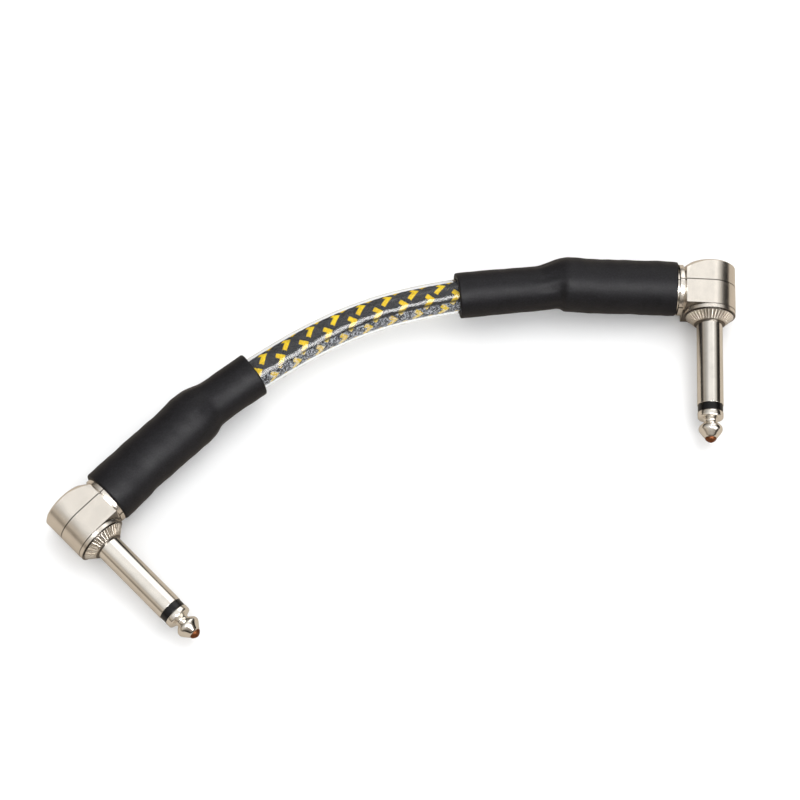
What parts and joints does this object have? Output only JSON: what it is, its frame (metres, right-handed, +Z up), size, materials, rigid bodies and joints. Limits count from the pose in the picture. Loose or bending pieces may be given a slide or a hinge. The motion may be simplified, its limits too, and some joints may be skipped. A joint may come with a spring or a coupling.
{
  "type": "instrument patch cable",
  "caption": "Short right-angle instrument patch cable: metal phone plugs turned 90 degrees to a clear-jacketed braided lead, with black heat-shrink sleeves over the cable entries.",
  "frame": {"origin": "on the supporting surface, below the centre of the bounding box of the two plugs and their sleeves", "axes": "+Z up from the supporting surface, +X towards the right-hand plug across the long side, +Y towards the outside of the cable's bend"},
  "size_m": [0.1663, 0.0972, 0.0146],
  "materials": {
    "satin_nickel": "satin nickel plate, fine turned and tumbled grain",
    "polished_nickel": "bright nickel plate with faint draw lines",
    "brass": "dull reddish brass",
    "solder": "bright tin solder",
    "black_insulator": "glossy moulded insulator",
    "white_insulator": "natural polyethylene",
    "black_shrink": "matte heat-shrink polyolefin, fine pebbled skin",
    "clear_pvc": "clear glossy PVC",
    "braid_yarn": "charcoal and yellow plaited yarn",
    "black_pvc": "soft black PVC",
    "conductive_black": "carbon-loaded PVC",
    "copper": "bare copper"
  },
  "bodies": {
    "root": {"left_plug_housing": "satin_nickel", "left_back_cap": "satin_nickel", "left_shaft_collar": "satin_nickel", "left_shaft_sleeve": "polished_nickel", "left_insulating_tube": "white_insulator", "left_insulator_ring": "black_insulator", "left_tip_contact": "polished_nickel", "left_tip_rod": "brass", "left_lug_washer": "black_insulator", "left_tip_lug": "brass", "left_tip_solder": "solder", "left_shield_ferrule": "brass", "left_cable_barrel": "satin_nickel", "left_heat_shrink": "black_shrink", "right_plug_housing": "satin_nickel", "right_back_cap": "satin_nickel", "right_shaft_collar": "satin_nickel", "right_shaft_sleeve": "polished_nickel", "right_insulating_tube": "white_insulator", "right_insulator_ring": "black_insulator", "right_tip_contact": "polished_nickel", "right_tip_rod": "brass", "right_lug_washer": "black_insulator", "right_tip_lug": "brass", "right_tip_solder": "solder", "right_shield_ferrule": "brass", "right_cable_barrel": "satin_nickel", "right_heat_shrink": "black_shrink", "clear_jacket": "clear_pvc", "textile_braid": "braid_yarn", "inner_jacket": "black_pvc", "copper_shield": "copper", "semiconductive_layer": "conductive_black", "dielectric": "white_insulator", "centre_conductor": "copper"}
  },
  "joints": []
}
